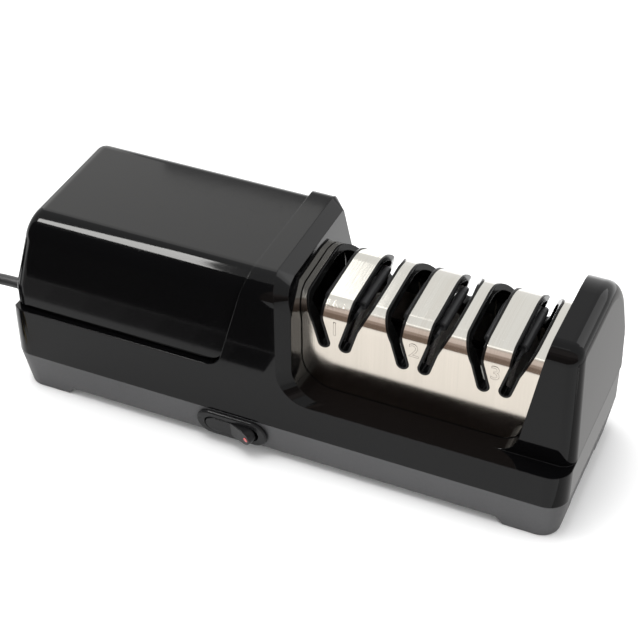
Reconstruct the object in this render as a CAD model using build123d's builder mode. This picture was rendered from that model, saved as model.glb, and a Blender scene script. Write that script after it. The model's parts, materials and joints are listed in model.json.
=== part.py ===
# Electric knife sharpener, three stages, driven by a motor in its left half.
# Millimetres. X runs along the machine, +X to the stage end; -Y is the side that faces the user; Z is up.
# The origin is on the worktop, in the middle of the whole machine without its cord.
from build123d import *
import os
from math import cos, pi, radians, sin, tan

os.makedirs("parts", exist_ok=True)

# ---------------------------------------------------------------- driving dimensions
length = 280.0
depth = 94.0
height = 104.0
corner_r = 10.0
seam_h = 21.3
ledge_h = 39.1
shelf_h = 48.5
wall = 2.5
fit_gap = 0.3
touch_gap = 0.1

lean_start = 60.0
back_lean = 21.0
end_lean = 15.5
skirt_draft = 3.2
front_top_r = 12.0
back_top_r = 8.0
lean_blend_r = 22.0

base_draft = 3.2
base_plate = 2.4
foot_len = 27.8
foot_wid = 24.0
foot_step = 4.3
foot_slant = 4.5
pad_proud = 0.5
pad_r = 6.0
pad_thick = 2.0

cover_in_y = 2.5
cover_in_x = 3.2
cover_in_top = 2.0
cover_lift = 1.8
cover_wall = 2.3
cover_end_r = 6.0
tongue_thick = 1.5
tongue_drop = 4.0
shelf_width = 8.0
deck_thick = 2.5
arch_wall = 5.0

arch_seam_x = -12.3
arch_lean = 15.5
seam_corner_r = 9.0
recess_top_x = 4.0
recess_low_x = 7.5
recess_corner_r = 16.0
recess_bevel = 5.4
block_foot_x = 112.9
block_top_x = 123.6
block_toe_r = 11.0
block_front = 37.5
block_edge_r = 7.0
block_back_r = 36.0
block_draft = 1.5

saddle_half = 30.0
saddle_top = 87.0
saddle_rise = 1.45
saddle_front_r = 10.0
saddle_back_r = 24.0
sheet = 0.8
saddle_gap = 0.3
opening_half = 28.5

stage_x = (23.5, 61.5, 99.3)
stage_names = ("coarse", "fine", "polish")
side_names = {-1: "left", 1: "right"}
slot_foot_x = 5.1
slot_foot_z = 65.85
slot_r = 3.05
slot_lean = 16.0
slot_inner_kink = 79.5
slot_outer_kink = 76.0
slot_outer_top = 16.5
slot_flare_z = 87.6
slot_soft_r = 4.0
lip = 1.1
lip_proud = 0.35
lip_depth = 2.5
guide_depth = 9.0
liner_skin = 1.5
liner_half = 18.5
liner_low = 59.0
liner_gap = 0.1

arm_pivot_x = 3.2
arm_pivot_z = 73.2
arm_pin_r = 0.75
arm_pin_fit = 0.06
arm_knuckle_r = 1.8
bar_x = 8.1
bar_r = 2.3
bar_top = 83.4
bar_front = -17.0
bar_back = 9.0
web_thick = 1.4
web_front = -22.0
web_back = 14.0
lug_y = 25.0
lug_thick = 2.0
lug_half = 5.6
lug_low = 70.6

shaft_z = 42.0
shaft_r = 4.0
bore_fit = 0.05
disc_r = 27.0
disc_thick = 2.2
disc_face = 4.4
disc_hub_r = 8.0
disc_hub_len = 5.0
disc_rim = 0.6
spring_wire = 0.9
spring_r = 5.8
sleeve_r = 6.5

# ---------------------------------------------------------------- values that follow
half_l = length / 2
half_d = depth / 2
back_slope = tan(radians(back_lean))
end_slope = tan(radians(end_lean))
arch_slope = tan(radians(arch_lean))
slot_slope = tan(radians(slot_lean))
block_slope = (block_top_x - block_foot_x) / (height - ledge_h)
saddle_slope = saddle_rise / (2 * saddle_half - saddle_front_r - saddle_back_r)
cover_bottom = shelf_h + cover_lift
floor_top = foot_step + pad_proud + base_plate
above = height + 20
across = depth + 20
step_half = front_top_r / 2**0.5
step_plane = Plane(
    origin=(0, -half_d + front_top_r, height - front_top_r), x_dir=(1, 0, 0), z_dir=(0, 1, -1)
)


def outline(points, rounds=()):
    """Closed flat outline through points; each item of rounds is a corner and its radius."""
    with BuildSketch() as shape:
        with BuildLine():
            Polyline(*points, close=True)
        make_face()
        for corner, radius in rounds:
            fillet(shape.vertices().sort_by_distance(Vector(*corner))[0], radius)
    return shape.sketch


def across_y(flat, half=across):
    """Bar with the front-view outline flat (X, Z), running along Y through the whole machine."""
    with BuildPart() as bar:
        with BuildSketch(Plane.XZ):
            add(flat)
        extrude(amount=half, both=True)
    return bar.part


def along_x(flat, start, end):
    """Bar with the side-view outline flat (Y, Z), running along X from start to end."""
    with BuildPart() as bar:
        with BuildSketch(Plane.YZ.offset(start)):
            add(flat)
        extrude(amount=end - start)
    return bar.part


def upright(flat, low, high):
    """Bar with the plan outline flat (X, Y), from low to high."""
    with BuildPart() as bar:
        with BuildSketch(Plane.XY.offset(low)):
            add(flat)
        extrude(amount=high - low)
    return bar.part


def side_profile(front, back, top, low, front_r, back_r):
    """Side view of a casing: upright front, flat top, and a back that leans forward above lean_start."""
    back_top = back - (top - lean_start) * back_slope
    points = ((-front, low), (-front, top), (back_top, top), (back, lean_start), (back, low))
    return outline(points, ((points[1], front_r), (points[2], back_r), (points[3], lean_blend_r)))


def plan(inset, radius, start=-half_l, end=half_l):
    """Plan outline of the machine drawn in by inset, between two places along X."""
    with BuildSketch() as shape:
        RectangleRounded(length - 2 * inset, depth - 2 * inset, radius)
        with Locations(((start + end) / 2, 0)):
            Rectangle(end - start, depth, mode=Mode.INTERSECT)
    return shape.sketch


def seam_x(z):
    """Where the slanted seam between the motor cover and the arch stands at height z."""
    return arch_seam_x - (height - z) * arch_slope


def block_x(z):
    """Left flank of the right-hand block at height z."""
    return block_foot_x + (z - ledge_h) * block_slope


def recess(left, gap):
    """Front view of the recess that holds the steel cover, from left to the block, drawn in by gap."""
    points = ((left, above), (left, ledge_h), (block_x(ledge_h), ledge_h), (block_x(above), above))
    shape = outline(points, ((points[1], recess_corner_r), (points[2], block_toe_r)))
    if gap == 0:
        return shape
    with BuildSketch() as drawn_in:
        add(shape)
        offset(amount=-gap)
    return drawn_in.sketch


def recess_step(gap):
    """Where the arch's wall stands further back, above a slant across its front-top rounding."""
    low_x, top_x = recess_low_x + gap, recess_top_x + gap
    with BuildPart() as step:
        with BuildSketch(step_plane):
            with BuildLine():
                Polyline(
                    (low_x, step_half),
                    (top_x, -step_half),
                    (top_x, -length),
                    (half_l, -length),
                    (half_l, step_half),
                    close=True,
                )
            make_face()
        extrude(amount=length, both=True)
    return step.part


def recess_room(gap):
    """Whole recess over the ledge, drawn in by gap."""
    with BuildPart() as room:
        add(across_y(recess(recess_top_x, gap)))
        add(recess_step(gap), mode=Mode.INTERSECT)
        add(across_y(recess(recess_low_x, gap)))
    return room.part


# ---------------------------------------------------------------- base tray and its feet
screw_places = [(x, y) for x in (-126, 10, 126) for y in (-37.5, 37.5)]
screw_r = 1.5
screw_head_r = 3.6
screw_head = 2.5
screw_recess = 8.0
screw_len = 20.0
boss_r = 5.0
rib = 3.0
pad_places = [(x, y) for x in (-121, 121) for y in (-27.5, 27.5)]
cord_hole_r = 5.2

# rocker switch: an oblong bezel in the middle of the base's front wall, leaning with it
switch_x = -21.3
switch_z = 13.5
bezel_len = 36.5
bezel_high = 15.2
bezel_proud = 2.2
skirt_len = 30.8
skirt_high = 12.4
skirt_deep = 8.0
rocker_reach = 13.6
rocker_high = 8.6
rocker_gap = 0.4
rocker_pivot = -1.0
rocker_face = 2.5
rocker_thick = 4.5
rocker_turn = 20.3
rocker_pin_r = 0.9
switch_deep = 17.0
tab_len = 4.5
tab_places = (-8.0, 0.0, 8.0)
front_slope = base_draft / (seam_h - pad_proud)
switch_y = -half_d + (seam_h - switch_z) * front_slope
switch_plane = Plane(origin=(switch_x, switch_y, switch_z), x_dir=(1, 0, 0), z_dir=(0, -1, -front_slope))

with BuildSketch(Plane.XY.offset(pad_proud)) as base_low:
    RectangleRounded(length - 2 * base_draft, depth - 2 * base_draft, corner_r - 1)
with BuildSketch(Plane.XY.offset(seam_h)) as base_high:
    RectangleRounded(length, depth, corner_r)
with BuildSketch(Plane.XY.offset(floor_top)) as tray_low:
    RectangleRounded(length - 2 * (base_draft + wall), depth - 2 * (base_draft + wall), corner_r - wall)
with BuildSketch(Plane.XY.offset(seam_h)) as tray_high:
    RectangleRounded(length - 2 * wall, depth - 2 * wall, corner_r - wall)
foot_in = half_l - base_draft - foot_len
under = foot_step + pad_proud
foot_notch = across_y(
    outline(((-foot_in - foot_slant, -1), (-foot_in, under), (foot_in, under), (foot_in + foot_slant, -1)))
)

with BuildPart() as base:
    loft([base_low.sketch, base_high.sketch], ruled=True)
    loft([tray_low.sketch, tray_high.sketch], ruled=True, mode=Mode.SUBTRACT)
    add(foot_notch, mode=Mode.SUBTRACT)
    with BuildSketch(Plane.XY):
        Rectangle(length, depth - 2 * (base_draft + foot_wid))
    extrude(amount=under, mode=Mode.SUBTRACT)
    with BuildSketch(Plane.XY.offset(under)):
        with Locations(*screw_places):
            Circle(boss_r)
    extrude(amount=seam_h - under)
    with BuildSketch(Plane.XY):
        with Locations(*screw_places):
            Circle(screw_r + fit_gap)
    extrude(amount=seam_h, mode=Mode.SUBTRACT)
    with BuildSketch(Plane.XY):
        with Locations(*screw_places):
            Circle(screw_head_r + fit_gap)
    extrude(amount=screw_recess, mode=Mode.SUBTRACT)
    with BuildSketch(Plane.XY):
        with Locations(*pad_places):
            Circle(pad_r + touch_gap)
    extrude(amount=pad_thick, mode=Mode.SUBTRACT)
    with BuildSketch(Plane.YZ.offset(-half_l - 1)):
        with Locations((0, seam_h)):
            Circle(cord_hole_r)
    extrude(amount=wall + base_draft + 3, mode=Mode.SUBTRACT)
    with BuildSketch(switch_plane):
        SlotOverall(skirt_len + 0.4, skirt_high + 0.4)
    extrude(amount=8, both=True, mode=Mode.SUBTRACT)

with BuildPart() as rubber_feet:
    with BuildSketch(Plane.XY):
        with Locations(*pad_places):
            Circle(pad_r)
    extrude(amount=pad_thick)
    chamfer(rubber_feet.edges().group_by(Axis.Z)[0], 0.4)

# ---------------------------------------------------------------- housing: skirt, arch and right-hand block
turn_x = seam_x(shelf_h)
corner_top = ledge_h + recess_corner_r
left_front = outline(
    (
        (-half_l, seam_h),
        (-half_l + skirt_draft, shelf_h),
        (turn_x, shelf_h),
        (arch_seam_x, height),
        (recess_low_x + recess_corner_r, height),
        (recess_low_x + recess_corner_r, seam_h),
    ),
    (((turn_x, shelf_h), seam_corner_r),),
)
upper_left = outline(
    ((-half_l, corner_top), (-half_l, above), (recess_low_x, above), (recess_low_x, corner_top))
)
arch_side = side_profile(half_d, half_d, height, seam_h, front_top_r, back_top_r)
arch_bar = along_x(arch_side, -half_l, recess_low_x + recess_corner_r)
step_low = height - front_top_r - half_d
step_high = step_low + 2 * front_top_r
step_lean = (recess_low_x - recess_top_x) / (step_high - step_low)
left_bar = across_y(left_front)
plan_bar = upright(plan(0, corner_r), seam_h, above)
low_half = upright(plan(0, corner_r), seam_h, corner_top)
upper_bar = across_y(upper_left)
whole_recess = recess_room(0)


def bevel_outline(left):
    """Lower left part of the recess, standing at left."""
    top = corner_top + 10
    right = left + 60
    points = ((left, top), (left, ledge_h), (right, ledge_h), (right, top))
    return outline(points, ((points[1], recess_corner_r),))


def bevel_cutter(left, side):
    """Slanting cutter round the lower left of the recess, at the front (-1) or the back (1)."""
    with BuildSketch(Plane.XZ.offset(-side * (half_d + 1))) as face_end:
        add(bevel_outline(left - recess_bevel - 1))
    with BuildSketch(Plane.XZ.offset(-side * (half_d - recess_bevel))) as inner_end:
        add(bevel_outline(left))
    with BuildPart() as cutter:
        loft([face_end.sketch, inner_end.sketch], ruled=True)
    return cutter.part


def band(piece, low, high):
    """The part of piece between the slants where Y + Z is low and where it is high."""
    reach = length
    points = ((-reach, low + reach), (-reach, high + reach), (reach, high - reach), (reach, low - reach))
    with BuildPart() as between:
        add(piece)
        add(along_x(outline(points), -length, length), mode=Mode.INTERSECT)
    return between.part


# the arch's end is bevelled all round; it steps back over the slant, where it is sheared to join both ends
end_start = turn_x - 20
with BuildPart() as arch_end:
    with BuildSketch(Plane.YZ.offset(end_start)):
        add(arch_side)
    extrude(amount=recess_low_x - end_start)
    chamfer(arch_end.faces().sort_by(Axis.X)[-1].edges(), recess_bevel)
shear = Matrix([[1, -step_lean, -step_lean, step_lean * step_low], [0, 1, 0, 0], [0, 0, 1, 0], [0, 0, 0, 1]])
arch_end_bands = (
    band(arch_end.part, -length, step_low),
    band(arch_end.part.transform_geometry(shear), step_low, step_high),
    band(Pos(recess_top_x - recess_low_x, 0, 0) * arch_end.part, step_high, length),
)
with BuildPart() as left_body:
    add(arch_bar)
    add(left_bar, mode=Mode.INTERSECT)
    add(plan_bar, mode=Mode.INTERSECT)
with BuildPart() as arch_upper:
    for piece in arch_end_bands:
        add(piece)
    add(left_bar, mode=Mode.INTERSECT)
    add(upper_bar, mode=Mode.INTERSECT)
with BuildPart() as arch_lower:
    add(left_body.part)
    add(low_half, mode=Mode.INTERSECT)
    add(whole_recess, mode=Mode.SUBTRACT)
    add(bevel_cutter(recess_low_x, -1), mode=Mode.SUBTRACT)
    add(bevel_cutter(recess_top_x, 1), mode=Mode.SUBTRACT)

block_low = ledge_h - 1
block_side = side_profile(block_front, half_d, height - 1, block_low, block_edge_r + 1, block_back_r)
block_start = half_l - 50
block_bar = along_x(block_side, block_start, half_l)
block_tip = half_l - 2 * block_draft
block_face = ((block_start, 0), (block_start, above), (block_tip, above), (half_l, block_low), (half_l, 0))
block_end = across_y(outline(block_face))
with BuildPart() as block_outer:
    add(block_bar)
    add(block_end, mode=Mode.INTERSECT)
    end_face = block_outer.faces().sort_by(Axis.X)[-1]
    fillet([e for e in end_face.edges() if e.center().Z > ledge_h], block_edge_r)

# ---------------------------------------------------------------- hollows inside the housing
arch_wall_x = recess_top_x - arch_wall
arch_inside = outline(
    (
        (seam_x(ledge_h) + wall, ledge_h - deck_thick - 1),
        (seam_x(height - wall) + wall, height - wall),
        (arch_wall_x, height - wall),
        (arch_wall_x, ledge_h - deck_thick - 1),
    )
)
block_wall_x = block_x(ledge_h) + wall + 6
block_inside = outline(
    (
        (block_wall_x, ledge_h - deck_thick - 1),
        (block_x(lean_start) + wall + 1, lean_start),
        (block_x(height) + wall, height - 2 * wall),
        (half_l - 2 * wall - 2, height - 2 * wall),
        (half_l - wall - 1, height - 4 * wall),
        (half_l - wall, ledge_h - deck_thick - 1),
    )
)
arch_side_in = side_profile(
    half_d - wall, half_d - wall, height - wall, seam_h, front_top_r - wall, back_top_r - wall
)
block_side_in = side_profile(
    block_front - wall,
    half_d - 2 * wall,
    height - 2 * wall,
    seam_h,
    block_edge_r - wall,
    block_back_r - 2 * wall,
)
arch_hollow = across_y(arch_inside, half_d)
arch_hollow_side = along_x(arch_side_in, turn_x - 20, 20)
block_hollow = across_y(block_inside, half_d)
block_hollow_side = along_x(block_side_in, block_start, half_l)
skirt_hollow = upright(plan(wall, corner_r - wall), seam_h - 1, ledge_h - deck_thick)
left_hollow = upright(plan(wall, corner_r - wall, end=turn_x - wall), seam_h, shelf_h - deck_thick)
left_mouth = upright(plan(shelf_width, corner_r - wall, end=turn_x - wall), seam_h, shelf_h + 1)
skirt_in = -half_l + wall
skirt_end_in = outline(
    ((skirt_in, 0), (skirt_in, seam_h), (skirt_in + skirt_draft, shelf_h), (half_l, shelf_h), (half_l, 0))
)
with BuildPart() as skirt_space:
    add(skirt_hollow)
    add(left_hollow)
    add(across_y(skirt_end_in), mode=Mode.INTERSECT)
with BuildPart() as arch_space:
    add(arch_hollow)
    add(arch_hollow_side, mode=Mode.INTERSECT)
with BuildPart() as block_space:
    add(block_hollow)
    add(block_hollow_side, mode=Mode.INTERSECT)

disc_room = (12.0, 110.5)
wheel_way_r = 8.0
coupling_way_r = 9.5
ways = (
    (turn_x - 8, arch_seam_x - 4, coupling_way_r),
    (arch_wall_x - 1, disc_room[0] + 1, wheel_way_r),
    (disc_room[1] - 1, block_wall_x + 2, wheel_way_r),
)
cover_screw_places = [(x, y) for x in (-106, -48) for y in (-36.0, 36.0)]
cover_screw_r = 1.5
lug_r = 5.0

with BuildPart() as housing:
    add(arch_upper.part)
    add(arch_lower.part)
    add(upright(plan(0, corner_r, start=0), seam_h, ledge_h))
    add(block_outer.part)
    add(whole_recess, mode=Mode.SUBTRACT)
    add(skirt_space.part, mode=Mode.SUBTRACT)
    add(arch_space.part, mode=Mode.SUBTRACT)
    add(block_space.part, mode=Mode.SUBTRACT)
    add(left_mouth, mode=Mode.SUBTRACT)
    with BuildSketch(Plane.XY.offset(30)):
        with Locations(((disc_room[0] + disc_room[1]) / 2, 0)):
            Rectangle(disc_room[1] - disc_room[0], 2 * opening_half)
    extrude(amount=corner_top + 2 - 30, mode=Mode.SUBTRACT)
    for start, end, radius in ways:
        with BuildSketch(Plane.YZ.offset(start)):
            with Locations((0, shaft_z)):
                Circle(radius)
            with Locations((0, shaft_z - 6)):
                Rectangle(2 * radius, 12)
        extrude(amount=end - start, mode=Mode.SUBTRACT)
    for x, y in screw_places:
        roof = shelf_h if x < turn_x else ledge_h
        with BuildSketch(Plane.XY.offset(seam_h)):
            with Locations((x, y)):
                Circle(boss_r)
            with Locations((x, y + (4 if y > 0 else -4))):
                Rectangle(rib, 8)
        extrude(amount=roof - seam_h - 0.5)
        with BuildSketch(Plane.XY.offset(seam_h - 1)):
            with Locations((x, y)):
                Circle(screw_r + touch_gap)
        extrude(amount=screw_len - seam_h + screw_recess + 2, mode=Mode.SUBTRACT)
    with BuildSketch(Plane.XY.offset(shelf_h - deck_thick)):
        with Locations(*cover_screw_places):
            Circle(lug_r)
    extrude(amount=deck_thick)
    with BuildSketch(Plane.XY.offset(shelf_h - 6)):
        with Locations(*cover_screw_places):
            Circle(cover_screw_r + fit_gap)
    extrude(amount=8, mode=Mode.SUBTRACT)
    with BuildSketch(Plane.YZ.offset(-half_l - 1)):
        with Locations((0, seam_h)):
            Circle(cord_hole_r)
    extrude(amount=wall + 3, mode=Mode.SUBTRACT)


with BuildPart() as case_screws:
    with BuildSketch(Plane.XY.offset(screw_recess - screw_head)):
        with Locations(*screw_places):
            Circle(screw_head_r)
    extrude(amount=screw_head)
    with BuildSketch(Plane.XY.offset(screw_recess)):
        with Locations(*screw_places):
            Circle(screw_r)
    extrude(amount=screw_len)
    with BuildSketch(Plane.XY.offset(screw_recess - screw_head)):
        with Locations(*screw_places):
            Rectangle(4, 0.9)
            Rectangle(0.9, 4)
    extrude(amount=1.2, mode=Mode.SUBTRACT)


# ---------------------------------------------------------------- motor cover
def cover_form(inset):
    """Solid form of the motor cover drawn in by inset; its bottom is cut off later."""
    low = cover_bottom - 12
    top = height - cover_in_top - inset
    end = -half_l + cover_in_x + inset
    seam = fit_gap + inset
    side = side_profile(
        half_d - cover_in_y - inset,
        half_d - cover_in_y - inset,
        top,
        low,
        front_top_r - inset,
        back_top_r - inset,
    )
    front = outline(
        (
            (end, low),
            (end, lean_start),
            (end + (top - lean_start) * end_slope, top),
            (seam_x(top) - seam, top),
            (seam_x(low) - seam, low),
        ),
        (((end, lean_start), lean_blend_r),),
    )
    side_bar = along_x(side, -half_l, 0)
    front_bar = across_y(front)
    with BuildPart() as form:
        add(side_bar)
        add(front_bar, mode=Mode.INTERSECT)
        left_rim = [
            e
            for e in form.edges()
            if e.center().X < end + (top - lean_start) * end_slope + 0.5
            and e.bounding_box().size.X < 20
            and e.bounding_box().min.X < end + (top - lean_start) * end_slope + 0.1
            and not (e.bounding_box().size.Y > 30 and e.center().Z < top - 1)
        ]
        fillet(left_rim, cover_end_r - inset)
    return form.part


cover_outer = cover_form(0)
cover_inner = cover_form(cover_wall)
cover_low = outline(
    (
        (-half_l - 1, cover_bottom),
        (-half_l - 1, above),
        (seam_x(above) - fit_gap, above),
        (seam_x(cover_bottom) - fit_gap, cover_bottom),
    ),
    (((seam_x(cover_bottom) - fit_gap, cover_bottom), seam_corner_r - cover_lift),),
)
cover_boss_r = 4.0
cover_boss_top = 62.0
cover_screw_len = 12.0
rim_in = 1.2
rim_end = turn_x - seam_corner_r

with BuildPart() as motor_cover:
    add(cover_outer)
    add(across_y(cover_low), mode=Mode.INTERSECT)
    add(cover_inner, mode=Mode.SUBTRACT)
    with BuildSketch(Plane.XY.offset(shelf_h + touch_gap)):
        for inset, mode in ((rim_in, Mode.ADD), (rim_in + tongue_thick, Mode.SUBTRACT)):
            left = -half_l + cover_in_x + inset
            with Locations(((left + rim_end) / 2, 0)):
                Rectangle(rim_end - left, 2 * (half_d - cover_in_y - inset), mode=mode)
    extrude(amount=cover_lift + tongue_drop)
    with BuildSketch(Plane.XY.offset(shelf_h + touch_gap)):
        for x, y in cover_screw_places:
            with Locations((x, y)):
                Circle(cover_boss_r)
            with Locations((x, y + (3.5 if y > 0 else -3.5))):
                Rectangle(rib, 7)
    extrude(amount=cover_boss_top - shelf_h)
    add(cover_outer, mode=Mode.INTERSECT)
    with BuildSketch(Plane.XY.offset(shelf_h)):
        with Locations(*cover_screw_places):
            Circle(cover_screw_r + touch_gap)
    extrude(amount=cover_screw_len, mode=Mode.SUBTRACT)

with BuildPart() as cover_screws:
    with BuildSketch(Plane.XY.offset(shelf_h - deck_thick - screw_head)):
        with Locations(*cover_screw_places):
            Circle(screw_head_r)
    extrude(amount=screw_head)
    with BuildSketch(Plane.XY.offset(shelf_h - deck_thick)):
        with Locations(*cover_screw_places):
            Circle(cover_screw_r)
    extrude(amount=cover_screw_len)


# ---------------------------------------------------------------- steel cover and the slots
def saddle(inset, start, end):
    """Form of the bent sheet drawn in by inset: upright front and back, a top that rises to the back."""
    drop = inset * (1 + saddle_slope**2) ** 0.5
    front, back = -saddle_half + inset, saddle_half - inset
    low = ledge_h
    points = (
        (front, low),
        (front, saddle_top - drop - (saddle_front_r - inset) * saddle_slope),
        (back, saddle_top - drop + (back + saddle_half - saddle_front_r) * saddle_slope),
        (back, low),
    )
    rounds = ((points[1], saddle_front_r - inset), (points[2], saddle_back_r - inset))
    return along_x(outline(points, rounds), start, end)


def slot(centre, side, inset):
    """Front view of one blade slot: it leans away from the stage's middle and flares at the top."""
    run = slot_inner_kink - slot_foot_z
    half = slot_r / cos(radians(slot_lean))
    inner = slot_foot_x - half + run * slot_slope
    outer = slot_foot_x + half + (slot_outer_kink - slot_foot_z) * slot_slope
    across_x = slot_r * cos(radians(slot_lean))
    across_z = slot_r * sin(radians(slot_lean))
    points = (
        (slot_foot_x - across_x, slot_foot_z + across_z),
        (inner, slot_inner_kink),
        (inner, above),
        (slot_outer_top, above),
        (slot_outer_top, slot_flare_z),
        (outer, slot_outer_kink),
        (slot_foot_x + across_x, slot_foot_z - across_z),
    )
    with BuildSketch() as shape:
        with BuildLine():
            Polyline(*[(centre + side * x, z) for x, z in points], close=True)
        make_face()
        with Locations((centre + side * slot_foot_x, slot_foot_z)):
            Circle(slot_r)
        for x, z in (points[1], points[4], points[5]):
            fillet(shape.vertices().sort_by_distance(Vector(centre + side * x, z))[0], slot_soft_r)
        if inset:
            offset(amount=-inset)
    return shape.sketch


stage_slots = [(centre, side) for centre in stage_x for side in (-1, 1)]
saddle_end = block_top_x
sheet_room = recess_room(saddle_gap)
with BuildPart() as steel_cover:
    add(saddle(0, 0, saddle_end))
    add(saddle(sheet, -1, saddle_end + 1), mode=Mode.SUBTRACT)
    add(sheet_room, mode=Mode.INTERSECT)
    for centre, side in stage_slots:
        add(across_y(slot(centre, side, 0)), mode=Mode.SUBTRACT)

# ---------------------------------------------------------------- slot liners with the guide arms' lugs
skin_top = sheet + liner_gap
liner_room = recess_room(saddle_gap + sheet)
skin_bar = saddle(skin_top, 0, saddle_end)
skin_bar_in = saddle(skin_top + liner_skin, -1, saddle_end + 1)
lip_bar = saddle(-lip_proud, 0, saddle_end)
lip_bar_in = saddle(lip_depth, -1, saddle_end + 1)
guide_bar_in = saddle(guide_depth, -1, saddle_end + 1)
arm_room = lug_y - lug_thick / 2
with BuildPart() as skin:
    add(skin_bar)
    add(skin_bar_in, mode=Mode.SUBTRACT)
    add(liner_room, mode=Mode.INTERSECT)
with BuildPart() as lip_shell:
    add(lip_bar)
    add(lip_bar_in, mode=Mode.SUBTRACT)
with BuildPart() as guide_shell:
    add(skin_bar)
    add(guide_bar_in, mode=Mode.SUBTRACT)
    with BuildSketch(Plane.XY):
        with Locations((half_l / 2, 0)):
            Rectangle(length, 2 * arm_room)
    extrude(amount=above, mode=Mode.SUBTRACT)


def liner(centre):
    """Black moulding under the sheet at one stage: skin, lips round both slots, and two lugs."""
    rings = []
    mouths = []
    for side in (-1, 1):
        mouth = across_y(slot(centre, side, lip))
        with BuildPart() as ring:
            add(across_y(slot(centre, side, liner_gap)))
            add(mouth, mode=Mode.SUBTRACT)
        rings.append(ring.part)
        mouths.append(mouth)
    with BuildPart() as window:
        with BuildSketch(Plane.XY.offset(liner_low)):
            with Locations((centre, 0)):
                Rectangle(2 * liner_half, depth)
        extrude(amount=above)
    with BuildPart() as lugs:
        with BuildSketch(Plane.XY.offset(lug_low)):
            with Locations((centre, -lug_y), (centre, lug_y)):
                Rectangle(2 * lug_half, lug_thick)
        extrude(amount=above)
        add(skin_bar, mode=Mode.INTERSECT)
    with BuildPart() as lips:
        add(rings[0])
        add(rings[1])
        add(lip_shell.part, mode=Mode.INTERSECT)
    with BuildPart() as guides:
        add(rings[0])
        add(rings[1])
        add(guide_shell.part, mode=Mode.INTERSECT)
    with BuildPart() as body:
        add(skin.part)
        add(window.part, mode=Mode.INTERSECT)
        add(guides.part)
        add(lugs.part)
        for mouth in mouths:
            add(mouth, mode=Mode.SUBTRACT)
        add(lips.part)
        with BuildSketch(Plane.XZ):
            with Locations(*[(centre + side * arm_pivot_x, arm_pivot_z) for side in (-1, 1)]):
                Circle(arm_pin_r)
        extrude(amount=depth, both=True, mode=Mode.SUBTRACT)
    return body.part


liners = {name: liner(centre) for name, centre in zip(stage_names, stage_x)}


def guide_arm(centre, side):
    """Sprung arm of one slot: knuckle on its pin, a web along the slot, and the round bar on top."""
    pivot = (centre + side * arm_pivot_x, arm_pivot_z)
    bar = (centre + side * bar_x, bar_top - bar_r)
    with BuildPart() as arm:
        with BuildSketch(Plane.XZ.offset(-web_back)):
            with Locations(pivot):
                Circle(arm_knuckle_r)
            with BuildLine():
                rod = Line(pivot, bar)
            trace(lines=[rod], line_width=web_thick)
        extrude(amount=web_back - web_front)
        with BuildSketch(Plane.XZ.offset(-bar_back)):
            with Locations(bar):
                Circle(bar_r)
        extrude(amount=bar_back - bar_front)
        bar_ends = [e for e in arm.edges().filter_by(GeomType.CIRCLE) if abs(e.radius - bar_r) < 0.01]
        chamfer(bar_ends, 0.6)
        with BuildSketch(Plane.XZ):
            with Locations(pivot):
                Circle(arm_pin_r + arm_pin_fit)
        extrude(amount=depth, both=True, mode=Mode.SUBTRACT)
    return arm.part


arms = {(n, s): guide_arm(c, s) for n, c in zip(stage_names, stage_x) for s in (-1, 1)}
pivot_places = [(centre + side * arm_pivot_x, arm_pivot_z) for centre, side in stage_slots]
pin_half = lug_y + lug_thick / 2 + 0.5
with BuildPart() as hinge_pins:
    with BuildSketch(Plane.XZ):
        with Locations(*pivot_places):
            Circle(arm_pin_r)
    extrude(amount=pin_half, both=True)

coil_wire_r = 0.25
coil_r = arm_pin_r + 0.5
coil_room = lug_y - lug_thick / 2 - web_back
with BuildPart() as arm_spring:
    with BuildLine() as arm_coil:
        Helix(pitch=0.75, height=coil_room - 0.8, radius=coil_r, direction=(0, 1, 0))
    with BuildSketch(Plane(origin=arm_coil.line @ 0, z_dir=arm_coil.line % 0)):
        Circle(coil_wire_r)
    sweep(is_frenet=True)
coil_y = web_back + 0.4
arm_springs = Compound([Pos(x, coil_y, z) * arm_spring.part for x, z in pivot_places])


# ---------------------------------------------------------------- wheel shaft, discs and bearings
def turned(points, start=0):
    """Body of revolution about the shaft line; points are (x, radius) from start."""
    with BuildPart() as piece:
        with BuildSketch(Plane.XZ):
            with BuildLine():
                Polyline(*[(start + x, shaft_z + r) for x, r in points], close=True)
            make_face()
        revolve(axis=Axis((0, 0, shaft_z), (1, 0, 0)))
    return piece.part


def tube(start, end, outer_r, inner_r):
    return turned(((start, inner_r), (start, outer_r), (end, outer_r), (end, inner_r)))


motor_r = 3.0
on_shaft = 0.02
wheel_start = -19.0
inner_block = (-11.5, -3.5)
outer_block = (122.0, 130.0)
clip_thick = 0.8
clip_r = 6.6
wheel_end = outer_block[1] + 2
bush_r = 6.0
hub_end = disc_face + disc_hub_len
with BuildPart() as wheel_shaft:
    add(tube(wheel_start, wheel_end, shaft_r, 0))
    chamfer(wheel_shaft.edges().filter_by(GeomType.CIRCLE), 0.5)

discs = {}
for name, centre in zip(stage_names, stage_x):
    for side in (-1, 1):
        rim_in_x = disc_face - disc_thick
        points = (
            (rim_in_x, shaft_r + on_shaft),
            (rim_in_x, disc_r - disc_rim),
            (rim_in_x + disc_rim, disc_r),
            (disc_face - disc_rim, disc_r),
            (disc_face, disc_r - disc_rim),
            (disc_face, disc_hub_r),
            (hub_end, disc_hub_r - disc_rim),
            (hub_end, shaft_r + on_shaft),
        )
        discs[name, side] = turned([(centre + side * x, r) for x, r in points])

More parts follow.
